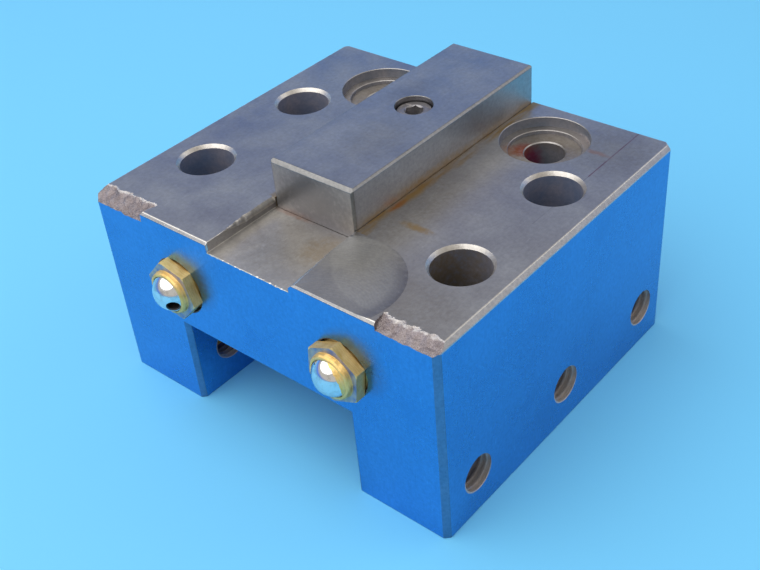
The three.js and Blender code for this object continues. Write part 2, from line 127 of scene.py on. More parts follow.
class Finish:
    """A node material whose patterns are laid out in millimetres of the piece's own space."""

    def __init__(self, name, roughness=0.4, metallic=1.0):
        self.material = bpy.data.materials.new(name)
        self.material.use_nodes = True
        self.tree = self.material.node_tree
        self.shader = self.tree.nodes["Principled BSDF"]
        self.shader.inputs["Metallic"].default_value = metallic
        self.shader.inputs["Roughness"].default_value = roughness
        self.place = self.node("TexCoord").outputs["Object"]

    def node(self, kind, values=(), **settings):
        made = self.tree.nodes.new("ShaderNode" + kind)
        for key, value in settings.items():
            setattr(made, key, value)
        for key, value in values:
            if isinstance(value, bpy.types.NodeSocket):
                self.tree.links.new(value, made.inputs[key])
            else:
                made.inputs[key].default_value = value
        return made

    def millimetres(self, scale=1, centre=(0, 0, 0)):
        """The place in block millimetres, from a centre, times one scale or one for each axis."""
        stretch = Vector([scale] * 3 if isinstance(scale, (int, float)) else scale)
        moved = self.node("VectorMath", [(0, self.place), (1, TO_FRAME @ Vector(centre))],
                          operation="SUBTRACT")
        sized = self.node("VectorMath", [(0, moved.outputs[0]), (1, stretch / MM)],
                          operation="MULTIPLY")
        return sized.outputs[0]

    def along(self, axis):
        return self.node("SeparateXYZ", [(0, self.millimetres())]).outputs[axis]

    def grain(self, scale, detail=4, rough=0.55, distortion=0.0):
        values = [("Vector", self.millimetres(scale)), ("Scale", 1), ("Detail", detail),
                  ("Roughness", rough), ("Distortion", distortion)]
        return self.node("TexNoise", values).outputs["Fac"]

    def ball(self, centre, size):
        """1 at a place, falling evenly to 0 at its size in each direction."""
        inverse = [1 / s for s in size]
        return self.node("TexGradient", [("Vector", self.millimetres(inverse, centre))],
                         gradient_type="SPHERICAL").outputs["Fac"]

    def calc(self, operation, a, b=0.0):
        return self.node("Math", [(0, a), (1, b)], operation=operation).outputs[0]

    def times(self, a, b):
        return self.calc("MULTIPLY", a, b)

    def span(self, value, low, high, to_low=0.0, to_high=1.0):
        values = [("Value", value), ("From Min", low), ("From Max", high), ("To Min", to_low),
                  ("To Max", to_high)]
        return self.node("MapRange", values).outputs["Result"]

    def mix(self, factor, a, b, blend="MIX"):
        a, b = (c if isinstance(c, bpy.types.NodeSocket) else (*c, 1) for c in (a, b))
        values = [("Factor", factor), (6, a), (7, b)]
        return self.node("Mix", values, data_type="RGBA", blend_type=blend).outputs[2]

    def made_of(self, tone, roughness, height, relief, strength=1.0):
        """The material in a tone and a roughness, with a height pattern of so many millimetres' relief."""
        values = [("Height", height), ("Distance", relief * MM), ("Strength", strength)]
        normal = self.node("Bump", values).outputs["Normal"]
        for key, socket in (("Base Color", tone), ("Roughness", roughness), ("Normal", normal)):
            self.tree.links.new(socket, self.shader.inputs[key])
        return self.material


def machined(name, dark, light, grain, rough, relief=0.02, films=(), cloud=0.09, metallic=1.0):
    """Bare steel: clouded tone, grain along the way it was ground, fine scratches, and films of thin
    stains and painted shade.
    """
    f = Finish(name, metallic=metallic)
    clouds = f.span(f.grain(cloud, 6, 0.6, 0.4), 0.3, 0.7)
    tone = f.mix(clouds, dark, light)
    lines = f.grain(grain, 3, 0.6)
    tone = f.mix(f.span(lines, 0.35, 0.68, 0.0, 0.22), tone, (0.75, 0.74, 0.73), "SOFT_LIGHT")
    mottle = f.grain(1.1, 6, 0.7)
    tone = f.mix(f.span(mottle, 0.38, 0.66, 0.0, 0.32), tone, [c * 0.55 for c in dark])
    ridge = f.calc("ABSOLUTE", f.calc("SUBTRACT", f.grain([g * 0.45 for g in grain], 1, 0.5, 0.2), 0.5))
    tone = f.mix(f.span(ridge, 0.0, 0.005, 0.22, 0.0), tone, [min(1.0, c * 1.7) for c in light])
    for colour, mask in films:
        tone = f.mix(mask(f), tone, colour)
    uneven = f.calc("ADD", f.times(clouds, 0.5), f.times(mottle, 0.5))
    height = f.calc("ADD", f.times(lines, 0.7), f.times(mottle, 0.6))
    return f.made_of(tone, f.span(uneven, 0.25, 0.75, *rough), height, relief)


def patch(centre, size, amount=1.0, edge=0.06):
    """A stain at a place, and in some uses painted shade, gone at its size in each direction and broken up
    by noise.
    """
    def mask(f):
        broken = f.times(f.ball(centre, size), f.grain(0.9, 5))
        return f.span(broken, edge, edge + 0.3, 0.0, amount)
    return mask


def line_along_y(x, width, amount, y_from=0):
    """A thin broken line at one x, running back in y."""
    def mask(f):
        off = f.calc("ABSOLUTE", f.calc("SUBTRACT", f.along("X"), x))
        wander = f.times(f.grain(0.25, 4), width)
        near = f.span(f.calc("SUBTRACT", off, wander), 0.0, width * 0.6, amount, 0.0)
        behind = f.calc("GREATER_THAN", f.along("Y"), y_from)
        broken = f.span(f.grain((0.5, 0.09, 0.5), 4), 0.36, 0.58)
        return f.times(f.times(near, behind), broken)
    return mask


RUST, OCHRE, VARNISH = (0.42, 0.13, 0.03), (0.36, 0.23, 0.07), (0.17, 0.13, 0.075)
RED, MAGENTA, INK_AND_SHADE = (0.42, 0.045, 0.03), (0.24, 0.03, 0.09), (0.045, 0.04, 0.07)
PAINTED_SHADE_GREY, SHADE_AND_GRIND_GREY, NAVY, GRIT = (0.17, 0.155, 0.2), (0.2, 0.2, 0.22), (0.06, 0.09, 0.24), (0.55, 0.5, 0.49)
GRIND_Y, GRIND_UP = (2.6, 0.35, 2.6), (2.4, 2.4, 0.3)
RUBBED, DRILLED = (1.4, 1.4, 1.4), (0.2, 0.2, 4)


def shaded_rim(f):
    """Painted shade: the dark outer turn of the hand-ground spot, away from the slot, where the dish's
    wall turns from the light.
    """
    rim = f.span(f.ball(SPOT, [SPOT_RADIUS] * 3), 0.02, 0.22, 0.55, 0.0)
    turn = patch((SPOT[0] + 9, SPOT[1] + 3, HEIGHT), (16, 16, 4), edge=0.0)
    return f.times(rim, turn(f))


def first_pass(f):
    """The corner of the spot that the grinder's second pass didn't reach, which is smoother and darker."""
    away = f.node("VectorMath", [(0, f.millimetres(1, SECOND_PASS))], operation="LENGTH")
    wavering = f.calc("ADD", away.outputs["Value"], f.grain(0.4, 3))
    return f.span(wavering, SECOND_PASS_RADIUS + 0.3, SECOND_PASS_RADIUS + 1, 0.0, 0.3)


def swirl(f):
    """Fine rings left by the disc of a hand grinder."""
    centre = (SPOT[0] + 5, SPOT[1] - 9, HEIGHT)
    values = [("Vector", f.millimetres(1, centre)), ("Scale", 0.42), ("Distortion", 6), ("Detail", 4),
              ("Detail Scale", 1.2)]
    rings = f.node("TexWave", values, wave_type="RINGS", rings_direction="Z")
    return f.times(rings.outputs["Fac"], 0.13)


def deep_in_leg(f):
    """Painted shade in a leg's holes, with old oil: navy deepest in the middle of the leg and fading out
    near its faces.
    """
    from_middle = f.calc("ABSOLUTE", f.along("X"))
    outer = f.span(from_middle, WIDTH / 2 - 9, WIDTH / 2 - 2.5, 0.9, 0.0)
    return f.times(outer, f.span(from_middle, CHANNEL_WIDTH / 2 + 2, CHANNEL_WIDTH / 2 + 6))


def face_finishes():
    """The block's outer faces, its key slot, and the edges and chamfers between them."""
    top_stains = [
        (VARNISH, patch((14, 34, HEIGHT), (14, 26, 6), 0.3)),
        (VARNISH, patch((40, 78, HEIGHT), (16, 14, 6), 0.25)),
        (VARNISH, patch((33, 9, HEIGHT), (26, 12, 6), 0.25)),
        (OCHRE, line_along_y(SLOT_WIDTH / 2 + 0.4, 2.4, 0.85, KEY_FRONT)),
        (OCHRE, line_along_y(-SLOT_WIDTH / 2 - 0.4, 1.5, 0.6, KEY_FRONT)),
        (RUST, patch((13.2, 34, HEIGHT), (1.2, 4, 3), 0.6)),
        (OCHRE, patch((22, 29.5, HEIGHT), (6, 1.6, 3), 0.7)),
        (RUST, patch((37.5, 75.5, HEIGHT), (5, 1.2, 2), 0.35)),
        (MAGENTA, line_along_y(41.2, 0.2, 0.5, 66)),
        (INK_AND_SHADE, line_along_y(41.2, 0.16, 0.3, 44)),
    ]
    slot_stains = [
        (VARNISH, patch((0, 12, SLOT_FLOOR), (13, 14, 4), 0.3, 0.02)),
        (OCHRE, patch((8, 15, SLOT_FLOOR), (6, 8, 4), 0.3)),
        (RUST, patch((-7, 21, SLOT_FLOOR), (9, 1.2, 2), 0.3)),
    ]
    deposit = [(OCHRE, line_along_y(side * SLOT_WIDTH / 2, 2.5, 0.85, KEY_FRONT)) for side in BOTH]
    beside_nozzles = [(side * PORT_X + 4, 0, PASSAGE_Z + 3.5) for side in BOTH]
    # Painted shade and reflection of each brass nut: a grey smear on the side face, up and to the right of
    # it.
    nut_shade_reflection = [(PAINTED_SHADE_GREY, patch(place, (10, 5, 9), 0.6, 0.02)) for place in beside_nozzles]
    return [
        # The sides' saturated blue is a painted reflection of the blue floor; the steel itself is grey.
        machined("ground_side", (0.06, 0.27, 0.62), (0.085, 0.33, 0.73), GRIND_UP, (0.24, 0.34), 0.002,
                 nut_shade_reflection, cloud=0.05),
        machined("ground_top", (0.35, 0.345, 0.355), (0.43, 0.425, 0.42), GRIND_Y, (0.28, 0.4), 0.012,
                 top_stains),
        machined("slot_floor", (0.42, 0.405, 0.39), (0.54, 0.52, 0.49), GRIND_Y, (0.36, 0.48),
                 films=slot_stains),
        machined("slot_wall", (0.3, 0.3, 0.32), (0.42, 0.41, 0.41), GRIND_Y, (0.32, 0.46), films=deposit),
        machined("worn_edge", (0.52, 0.5, 0.48), (0.7, 0.68, 0.64), RUBBED, (0.3, 0.46), films=deposit),
        machined("worn_chamfer", (0.26, 0.26, 0.265), (0.4, 0.385, 0.375), RUBBED, (0.3, 0.46)),
        # The upright corner chamfers' dull blue is a painted reflection of the blue floor.
        machined("corner_blue_reflection", (0.09, 0.2, 0.36), (0.15, 0.28, 0.46), GRIND_UP, (0.34, 0.5)),
    ]


def inner_finishes():
    """The block's holes, ports and damage, with the dirt that has settled in them and painted shade in the
    holes.
    """
    residue = [
        (RED, patch((PORT_X - 4.5, PORT_Y - 1.5, HEIGHT - 4.5), (4.6, 4.4, 5), 0.85)),
        (MAGENTA, patch((PORT_X - 4.0, PORT_Y + 1, HEIGHT - 8), (4, 4, 6), 0.9)),
        (RUST, patch((PORT_X - 7, PORT_Y - 4, HEIGHT - 3.5), (4, 4, 2), 0.45)),
        (GRIT, patch((PORT_X + 5.5, PORT_Y + 7.5, HEIGHT - 2.5), (5.5, 4.5, 1.2), 0.7)),
        (VARNISH, patch((-PORT_X, PORT_Y, HEIGHT - 3.5), (11, 11, 4), 0.5)),
        (VARNISH, patch((PORT_X, PORT_Y, HEIGHT - 3), (12, 12, 4), 0.5)),
    ]
    caked = [(VARNISH, patch((BOLT_X - 3, BOLT_ROWS[0], HEIGHT / 2), (14, 14, 60), 0.85, 0.02))]
    hole_shade_and_oil = [(NAVY, deep_in_leg)]
    # The spot's dark rim is painted shade; its swirl and first pass are marks of the grinder.
    rim_shade_and_grinding = [(INK_AND_SHADE, shaded_rim), (SHADE_AND_GRIND_GREY, swirl), (SHADE_AND_GRIND_GREY, first_pass)]
    return [
        # The bores' dark navy is painted shade and painted reflection of the blue floor inside the holes.
        machined("drilled_bore", (0.14, 0.2, 0.34), (0.32, 0.29, 0.32), DRILLED, (0.4, 0.55), 0.03, caked,
                 metallic=0.45),
        machined("countersink", (0.46, 0.44, 0.42), (0.66, 0.63, 0.59), (2.5, 2.5, 2.5), (0.34, 0.48)),
        machined("port_rim", (0.3, 0.29, 0.285), (0.44, 0.42, 0.41), RUBBED, (0.38, 0.52)),
        machined("port_seat", (0.3, 0.285, 0.28), (0.46, 0.43, 0.41), RUBBED, (0.38, 0.54), 0.03, residue),
        # The port wall's dark blue-grey is painted shade and blue reflection down in the port.
        machined("port_wall", (0.13, 0.17, 0.24), (0.27, 0.26, 0.28), DRILLED, (0.4, 0.56), 0.03, residue,
                 metallic=0.5),
        machined("tapped_thread", (0.42, 0.39, 0.39), (0.72, 0.64, 0.59), (3, 1, 1), (0.32, 0.5),
                 films=hole_shade_and_oil, metallic=0.4),
        machined("ground_spot", (0.35, 0.35, 0.345), (0.42, 0.415, 0.4), (1.6, 1.6, 1.6), (0.36, 0.46),
                 films=rim_shade_and_grinding),
    ]


def broken_finish():
    """Torn, crystalline steel where a corner has been knocked off."""
    f = Finish("broken_steel")
    cells = f.node("TexVoronoi", [("Vector", f.millimetres(4.2)), ("Scale", 1)])
    lumps = f.span(cells.outputs["Distance"], 0.1, 0.75)
    fine = f.grain(4, 4, 0.7)
    tone = f.mix(f.span(f.grain(0.5, 4), 0.35, 0.65), (0.26, 0.22, 0.225), (0.42, 0.37, 0.38))
    tone = f.mix(f.times(lumps, 0.55), tone, (0.11, 0.09, 0.09))
    tone = f.mix(f.span(fine, 0.55, 0.68, 0.0, 0.5), tone, (0.75, 0.7, 0.68))
    burr = f.span(f.calc("ADD", f.along("Z"), f.grain(0.8, 3)), HEIGHT + 0.15, HEIGHT + 0.4)
    tone = f.mix(f.times(burr, 0.6), tone, (0.75, 0.73, 0.71))
    return f.made_of(tone, f.span(fine, 0.3, 0.7, 0.42, 0.68), f.calc("SUBTRACT", fine, lumps), 0.09, 0.7)


def key_finish(name, rough):
    films = [
        (VARNISH, patch((3, 40, KEY_TOP), (10, 14, 4), 0.2)),
        (INK_AND_SHADE, patch((-5, 62, KEY_TOP), (6, 10, 3), 0.2)),
        (VARNISH, patch((11.8, 60, SLOT_FLOOR + 4), (2, 30, 5), 0.2)),
        (OCHRE, patch((12, 50, SLOT_FLOOR + 2.2), (2, 40, 3), 0.5)),
        # Painted shade on the key's front face, darkest at its foot in the crevice where it meets the slot
        # floor.
        (PAINTED_SHADE_GREY, patch((2, KEY_FRONT, SLOT_FLOOR + 1), (13, 2, 3.5), 0.5)),
        (SHADE_AND_GRIND_GREY, patch((0, KEY_FRONT, KEY_TOP - 6), (17, 2, 12), 0.75, 0.0)),
    ]
    return machined(name, (0.34, 0.345, 0.36), (0.42, 0.42, 0.43), (2.2, 0.3, 2.2), rough, 0.012, films)


def black_oxide_finish(name, dark, light):
    f = Finish(name, 0.4, 0.8)
    worn = f.span(f.grain(0.8, 6, 0.65), 0.52, 0.66)
    dust = f.span(f.grain(5, 3), 0.5, 0.75, 0.0, 0.4)
    tone = f.mix(dust, f.mix(worn, dark, light), (0.24, 0.2, 0.17))
    return f.made_of(tone, f.span(worn, 0, 1, 0.36, 0.52), f.grain(6, 3), 0.015)


def brass_finish(name, rings, dark=(0.64, 0.39, 0.1), light=(0.9, 0.6, 0.19), metallic=0.6):
    """Turned brass, dull in its hollows and rubbed bright, with fine rings from the lathe tool."""
    f = Finish(name, metallic=metallic)
    tarnish = f.span(f.grain(1.4, 6, 0.7), 0.54, 0.7, 0.0, 0.5)
    clouded = f.mix(f.span(f.grain(0.35, 5, 0.6), 0.36, 0.64), dark, light)
    tone = f.mix(tarnish, clouded, [c * 0.5 for c in dark])
    turned = f.grain(rings, 2, 0.5)
    tone = f.mix(f.span(turned, 0.4, 0.62, 0.0, 0.3), tone, (0.95, 0.72, 0.4))
    rough = f.span(f.calc("ADD", turned, tarnish), 0.3, 1.2, 0.36, 0.56)
    return f.made_of(tone, rough, f.calc("ADD", turned, f.grain(2.4, 5, 0.7)), 0.05)


def ball_finish():
    f = Finish("polished_ball", 0.09)
    smear = f.span(f.grain(0.6, 5, 0.6, 0.5), 0.45, 0.7)
    pits = f.span(f.grain(3.4, 3, 0.7), 0.66, 0.74)
    tone = f.mix(pits, f.mix(smear, (0.8, 0.81, 0.83), (0.6, 0.6, 0.61)), (0.25, 0.2, 0.17))
    return f.made_of(tone, f.span(f.calc("ADD", smear, pits), 0, 1.5, 0.07, 0.3), f.grain(2, 4), 0.003)


def moulded_finish(name, dark, light, roughness, relief):
    f = Finish(name, roughness, 0.0)
    fine = f.grain(5, 4, 0.6)
    tone = f.mix(f.span(f.grain(0.5, 5, 0.6), 0.35, 0.65), dark, light)
    return f.made_of(tone, f.span(fine, 0.3, 0.7, roughness - 0.08, roughness + 0.08), fine, relief)


# ---- solids ----

def as_object(bm, *materials):
    """A new object from a bmesh, outward facing, with its materials."""
    bmesh.ops.recalc_face_normals(bm, faces=bm.faces)
    mesh = bpy.data.meshes.new("solid")
    bm.to_mesh(mesh)
    bm.free()
    for material in materials:
        mesh.materials.append(material)
    made = bpy.data.objects.new("solid", mesh)
    bpy.context.collection.objects.link(made)
    return made


def taken_back(target):
    """The bmesh of an object that was made only to be worked on."""
    bm = bmesh.new()
    bm.from_mesh(target.data)
    bpy.data.objects.remove(target)
    return bm


def lathe(profile, segments=ROUND, closed=False):
    """A solid turned about z from (radius, height) points, closed by the axis or on themselves."""
    if not closed:
        profile = dict.fromkeys([(0, profile[0][1]), *profile, (0, profile[-1][1])])
    bm = bmesh.new()
    turns = [2 * pi * i / segments for i in range(segments)]
    rings = []
    for radius, height in profile:
        around = [Vector((radius * cos(a), radius * sin(a), height)) for a in turns]
        rings.append([bm.verts.new(p) for p in (around if radius else around[:1])])
    pairs = list(zip(rings, rings[1:] + rings[:1]))
    for low, high in pairs if closed else pairs[:-1]:
        for i in range(segments):
            j = (i + 1) % segments
            corners = [low[i % len(low)], low[j % len(low)], high[j % len(high)], high[i % len(high)]]
            corners = list(dict.fromkeys(corners))
            if len(corners) > 2:
                bm.faces.new(corners)
    return bm


def cylinder(radius, low, high, segments=ROUND):
    return lathe([(radius, low), (radius, high)], segments)


def prism(outline, start, end, axis="z"):
    """An outline, given in the other two coordinates, pushed along an axis."""
    k = "xyz".index(axis)
    bm = bmesh.new()
    first, last = ([bm.verts.new((*p[:k], t, *p[k:])) for p in outline] for t in (start, end))
    bm.faces.new(first)
    bm.faces.new(last[::-1])
    for i in range(len(outline)):
        j = (i + 1) % len(outline)
        bm.faces.new([first[j], first[i], last[i], last[j]])
    return bm


def loft(sections):
    """Closed outlines skinned one to the next. Each runs along one face and comes back along the other."""
    bm = bmesh.new()
    loops = [[bm.verts.new(p) for p in points] for points in sections]
    count = len(loops[0])
    for near, far in zip(loops, loops[1:]):
        for i in range(count):
            j = (i + 1) % count
            bm.faces.new([near[i], near[j], far[j], far[i]])
    for end in (loops[0], loops[-1]):
        for i in range(count // 2 - 1):
            bm.faces.new([end[i], end[i + 1], end[count - 2 - i], end[count - 1 - i]])
    return bm


def mirrored(right):
    """The right half of an outline, and its mirror image on the left."""
    return right + [(-x, z) for x, z in reversed(right)]


def hexagon(flats, turn=0):
    reach = flats / sqrt(3)
    angles = [radians(turn + 60 * i) for i in range(6)]
    return [(reach * cos(a), reach * sin(a)) for a in angles]


def arc(centre, radius, start, end, steps):
    """(radius, height) points on a circle about a height on the axis, by angle from +z."""
    angles = [radians(start + (end - start) * i / steps) for i in range(steps + 1)]
    return [(round(radius * sin(a), 6), centre + radius * cos(a)) for a in angles]


def helix(start, length, pitch, minor, major, crest, root, steps=48):
    """A rod with a right-hand thread about +z. The crest and root are shares of the pitch."""
    flank = (1 - crest - root) / 2
    profile = [(0, major), (crest, major), (crest + flank, minor), (crest + flank + root, minor)]
    turns = ceil(length / pitch)
    bm = bmesh.new()
    rows = []
    for turn in range(turns):
        for share, radius in profile:
            row = []
            for i in range(steps):
                angle = 2 * pi * i / steps
                height = start + pitch * (turn + share + i / steps)
                row.append(bm.verts.new((radius * cos(angle), radius * sin(angle), height)))
            rows.append(row)
    per_turn = len(profile)
    for k in range(len(rows) - 1):
        for i in range(steps - 1):
            bm.faces.new([rows[k][i], rows[k][i + 1], rows[k + 1][i + 1], rows[k + 1][i]])
        if k + 1 + per_turn < len(rows):
            bm.faces.new([rows[k][-1], rows[k + per_turn][0], rows[k + 1 + per_turn][0], rows[k + 1][-1]])
    last = len(rows) - 1
    low_rim = rows[0] + [rows[k][0] for k in range(per_turn, 0, -1)]
    high_rim = rows[last] + [rows[k][-1] for k in range(last - 1, last - 1 - per_turn, -1)]
    for rim, height in ((low_rim, start - 2 * pitch), (high_rim, start + pitch * (turns + 3))):
        tip = bm.verts.new((0, 0, height))
        for a, b in zip(rim, rim[1:] + rim[:1]):
            bm.faces.new([a, b, tip])
    return bm


def stand(place, direction=UP):
    """The matrix that stands what is made about z at a place, along a direction."""
    turn = Vector(UP).rotation_difference(Vector(direction)).to_matrix().to_4x4()
    return Matrix.Translation(place) @ turn


def moved(bm, matrix):
    bmesh.ops.transform(bm, matrix=matrix, verts=bm.verts)
    return bm


def joined(parts):
    whole = bmesh.new()
    for part in parts:
        mesh = bpy.data.meshes.new("part")
        part.to_mesh(mesh)
        part.free()
        whole.from_mesh(mesh)
        bpy.data.meshes.remove(mesh)
    return whole


def combine(target, bm, operation, *materials):
    """Cuts, joins or intersects the target with a solid, which brings its own materials."""
    tool = as_object(bm, *materials)
    modifier = target.modifiers.new("combine", "BOOLEAN")
    modifier.operation = operation
    modifier.solver = "MANIFOLD"
    modifier.object = tool
    modifier.material_mode = "TRANSFER"
    bpy.context.view_layer.update()
    graph = bpy.context.evaluated_depsgraph_get()
    mesh = bpy.data.meshes.new_from_object(target.evaluated_get(graph), depsgraph=graph)
    target.modifiers.clear()
    target.data = mesh
    bpy.data.objects.remove(tool)


def cut(target, bm, *materials):
    combine(target, bm, "DIFFERENCE", *materials)


def dress(target, *materials):
    """Gives a solid its materials, in place of any that its tools left."""
    target.data.materials.clear()
    for material in materials:
        target.data.materials.append(material)


def break_edges(target, width, smallest=15):
    """Rounds every edge sharper than an angle, as a file or a stone leaves it."""
    bm = bmesh.new()
    bm.from_mesh(target.data)
    bmesh.ops.dissolve_limit(bm, angle_limit=radians(0.5), verts=bm.verts, edges=bm.edges)
    sharp = [e for e in bm.edges if e.is_manifold and degrees(e.calc_face_angle(0)) > smallest]
    bmesh.ops.bevel(bm, geom=sharp, offset=width, segments=2, profile=0.5, affect="EDGES",
                    clamp_overlap=True, material=-1)
    bm.to_mesh(target.data)
    bm.free()


def square_on(face):
    """Whether a face looks along x, y or z."""
    return max(abs(n) for n in face.normal) > FLAT_LIMIT


def finish_piece(target, name, node, body, place=Matrix(), sharp=28):
    """Puts a solid at its place in the row frame, shades it and rides it on its body for its CAD node."""
    target.name = name
    target.data.name = name
    target.data.transform(place)
    target.data.transform(TO_FRAME)
    target.data.shade_smooth()
    target.data.set_sharp_from_angle(angle=radians(sharp))
    weighted = target.modifiers.new("flat faces stay flat", "WEIGHTED_NORMAL")
    weighted.keep_sharp = True
    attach(target, body)
    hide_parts(node)


# ---- tool block ----

def corner_wedge(x, y, towards_x, towards_y, size, height):
    """A triangle that takes a vertical corner off at 45 degrees."""
    outline = [
        (x + towards_x * (size + BEYOND), y - towards_y * BEYOND),
        (x - towards_x * BEYOND, y - towards_y * BEYOND),
        (x - towards_x * BEYOND, y + towards_y * (size + BEYOND)),
    ]
    return prism(outline, -BEYOND, height)


def edge_wedge(y, inward, top, size, half):
    """A triangle that takes a top edge, running in x, off at 45 degrees."""
    outer, reach = y - inward * BEYOND, size + BEYOND
    outline = [(outer, top - reach), (y + inward * reach, top + BEYOND), (outer, top + BEYOND)]
    return prism(outline, -half - BEYOND, half + BEYOND, "x")


def block_blank():
    """Two legs under a bridge, with the key slot along the top, and its corners broken."""
    half, inner, slot, c = WIDTH / 2, CHANNEL_WIDTH / 2, SLOT_WIDTH / 2, SIDE_TOP_CHAMFER
    right = [
        (inner, CHANNEL_HEIGHT), (inner, 0), (half, 0), (half, HEIGHT - c), (half - c, HEIGHT),
        (slot, HEIGHT), (slot, SLOT_FLOOR),
    ]
    block = as_object(prism(mirrored(right), 0, DEPTH, "y"))
    cut(block, edge_wedge(0, 1, HEIGHT, FRONT_TOP_CHAMFER, half))
    for side in BOTH:
        for y, inward in ((0, 1), (DEPTH, -1)):
            cut(block, corner_wedge(side * half, y, -side, inward, OUTER_CORNER_CHAMFER, HEIGHT + BEYOND))
        cut(block, corner_wedge(side * inner, 0, side, 1, INNER_CORNER_CHAMFER, CHANNEL_HEIGHT))
        outward = Vector((side, 1, 1)).normalized()
        blow = stand(Vector((side * half, DEPTH, HEIGHT)) - outward * KNOCKED_CORNER, outward)
        cut(block, moved(cylinder(KNOCK_RADIUS, 0, KNOCK_RADIUS, 24), blow))
    break_edges(block, EDGE_BREAK)
    return block


def paint_blank(block, finishes):
    """Flat faces take the finish of the way they look, and chamfers and broken edges their own."""
    dress(block, *finishes)
    for face in block.data.polygons:
        in_slot = abs(face.center.x) < SLOT_WIDTH / 2 + 1 and face.center.z > SLOT_FLOOR
        if square_on(face) and face.normal.z > FLAT_LIMIT:
            face.material_index = TOP if face.center.z > HEIGHT - SLOT_DEPTH / 2 else FLOOR
        elif square_on(face):
            face.material_index = WALL if in_slot else SIDE
        elif face.normal.z < UPWARD:
            face.material_index = CORNER
        else:
            face.material_index = CHAMFER if face.area > EDGE_BREAK * DEPTH else EDGE


def paint_hole(bm, wall, mouth, ledge=0):
    """Gives each face of a hole's tool the slot for walls, for sloping mouths or for level ledges."""
    bm.normal_update()
    for face in bm.faces:
        slope = abs(face.normal.z)
        face.material_index = ledge if slope > FLAT_LIMIT else mouth if slope > 0.15 else wall
    return bm


def through_hole(mouth, length, waist=()):
    """The profile of a hole right through a leg or the block, with its edges eased at both faces."""
    eased = mouth + HOLE_EASE
    return [
        (eased, -BEYOND), (eased, 0), (mouth, HOLE_EASE), *waist,
        (mouth, length - HOLE_EASE), (eased, length), (eased, length + BEYOND),
    ]


def bolt_hole(x, y):
    waist = [(BOLT_RADIUS, BOLT_MOUTH_DEPTH), (BOLT_RADIUS, HEIGHT - BOLT_MOUTH_DEPTH)]
    return moved(lathe(through_hole(BOLT_MOUTH, HEIGHT, waist)), stand((x, y, 0)))


def port_tool(side):
    """The coolant port: a bore down to the passage under a seat and a shallower ring for the face seal."""
    outer, inner = HEIGHT - PORT_OUTER_DEPTH, HEIGHT - PORT_INNER_DEPTH
    half_ease = PORT_EASE / 2
    profile = [
        (PORT_BORE, PASSAGE_Z - PASSAGE_RADIUS), (PORT_BORE, inner - PORT_EASE),
        (PORT_BORE + PORT_EASE, inner), (PORT_INNER, inner), (PORT_INNER, outer - half_ease),
        (PORT_INNER + half_ease, outer),
        (PORT_OUTER, outer), (PORT_OUTER, HEIGHT - half_ease), (PORT_OUTER + half_ease, HEIGHT),
        (PORT_OUTER + half_ease, HEIGHT + BEYOND),
    ]
    return moved(lathe(profile), stand((side * PORT_X, PORT_Y, 0)))


def nozzle_stand(side):
    """A nozzle is made about z, with z running into the block from its front face."""
    return stand((side * PORT_X, 0, PASSAGE_Z), INWARD)


def nozzle_tool(side):
    profile = [
        (NOZZLE_MOUTH, -BEYOND), (NOZZLE_MOUTH, 0), (NOZZLE_BORE, NOZZLE_MOUTH_DEPTH),
        (NOZZLE_BORE, NOZZLE_BORE_DEPTH), (PASSAGE_RADIUS, NOZZLE_BORE_DEPTH),
        (PASSAGE_RADIUS, PASSAGE_END), (0, PASSAGE_END + DRILL_POINT),
    ]
    return moved(lathe(profile), nozzle_stand(side))


def clamp_stand(side, y):
    """A clamping screw is made about z, with z the way it advances from the outer face."""
    return stand((side * WIDTH / 2, y, CLAMP_Z), (-side, 0, 0))


def tap_tool(side, y):
    """The shape a tap leaves: a full thread right through the leg, with its edges eased at both faces."""
    leg = (WIDTH - CHANNEL_WIDTH) / 2
    rod = helix(-3 * CLAMP_PITCH, leg + 7 * CLAMP_PITCH, CLAMP_PITCH, CLAMP_MINOR, CLAMP_MAJOR,
                TAP_CREST, TAP_ROOT)
    tap = as_object(rod)
    combine(tap, cylinder(CLAMP_MAJOR + 1, -BEYOND, leg + BEYOND, 48), "INTERSECT")
    combine(tap, lathe(through_hole(CLAMP_MINOR, leg), 48), "UNION")
    return moved(taken_back(tap), clamp_stand(side, y))


def rough_slab(start, end, foot, head, leans, seed, relief=0.3, step=0.32, over=0.35):
    """Everything in front of a torn face that slopes from foot to head, (y, z) points on the two faces."""
    slope = Vector((0, head[0] - foot[0], head[1] - foot[1]))
    outward = Vector((0, -slope.z, slope.y)).normalized()
    across = max(2, round((end - start) / step))
    up = max(4, round(slope.length * (1 + 2 * over) / step))
    sections = []
    for j in range(up + 1):
        share = -over + (1 + 2 * over) * j / up
        low = start + leans[0] * (1 - share)
        high = end - leans[1] * (1 - share)
        torn = []
        for i in range(across + 1):
            along = i / across
            point = Vector((low + (high - low) * along, *foot)) + slope * share
            where = point * 0.55 + Vector((seed, 0, 0))
            bulk = noise.fractal(where, 0.9, 2.1, 5)
            lumps = noise.cell(where * 4) * 0.25
            point += outward * relief * (bulk + lumps)
            if i in (0, across):
                point.x += 0.35 * noise.noise(where * 3)
            torn.append(point)
        sections.append(torn + [point + outward * TORN_THICKNESS for point in reversed(torn)])
    return loft(sections)


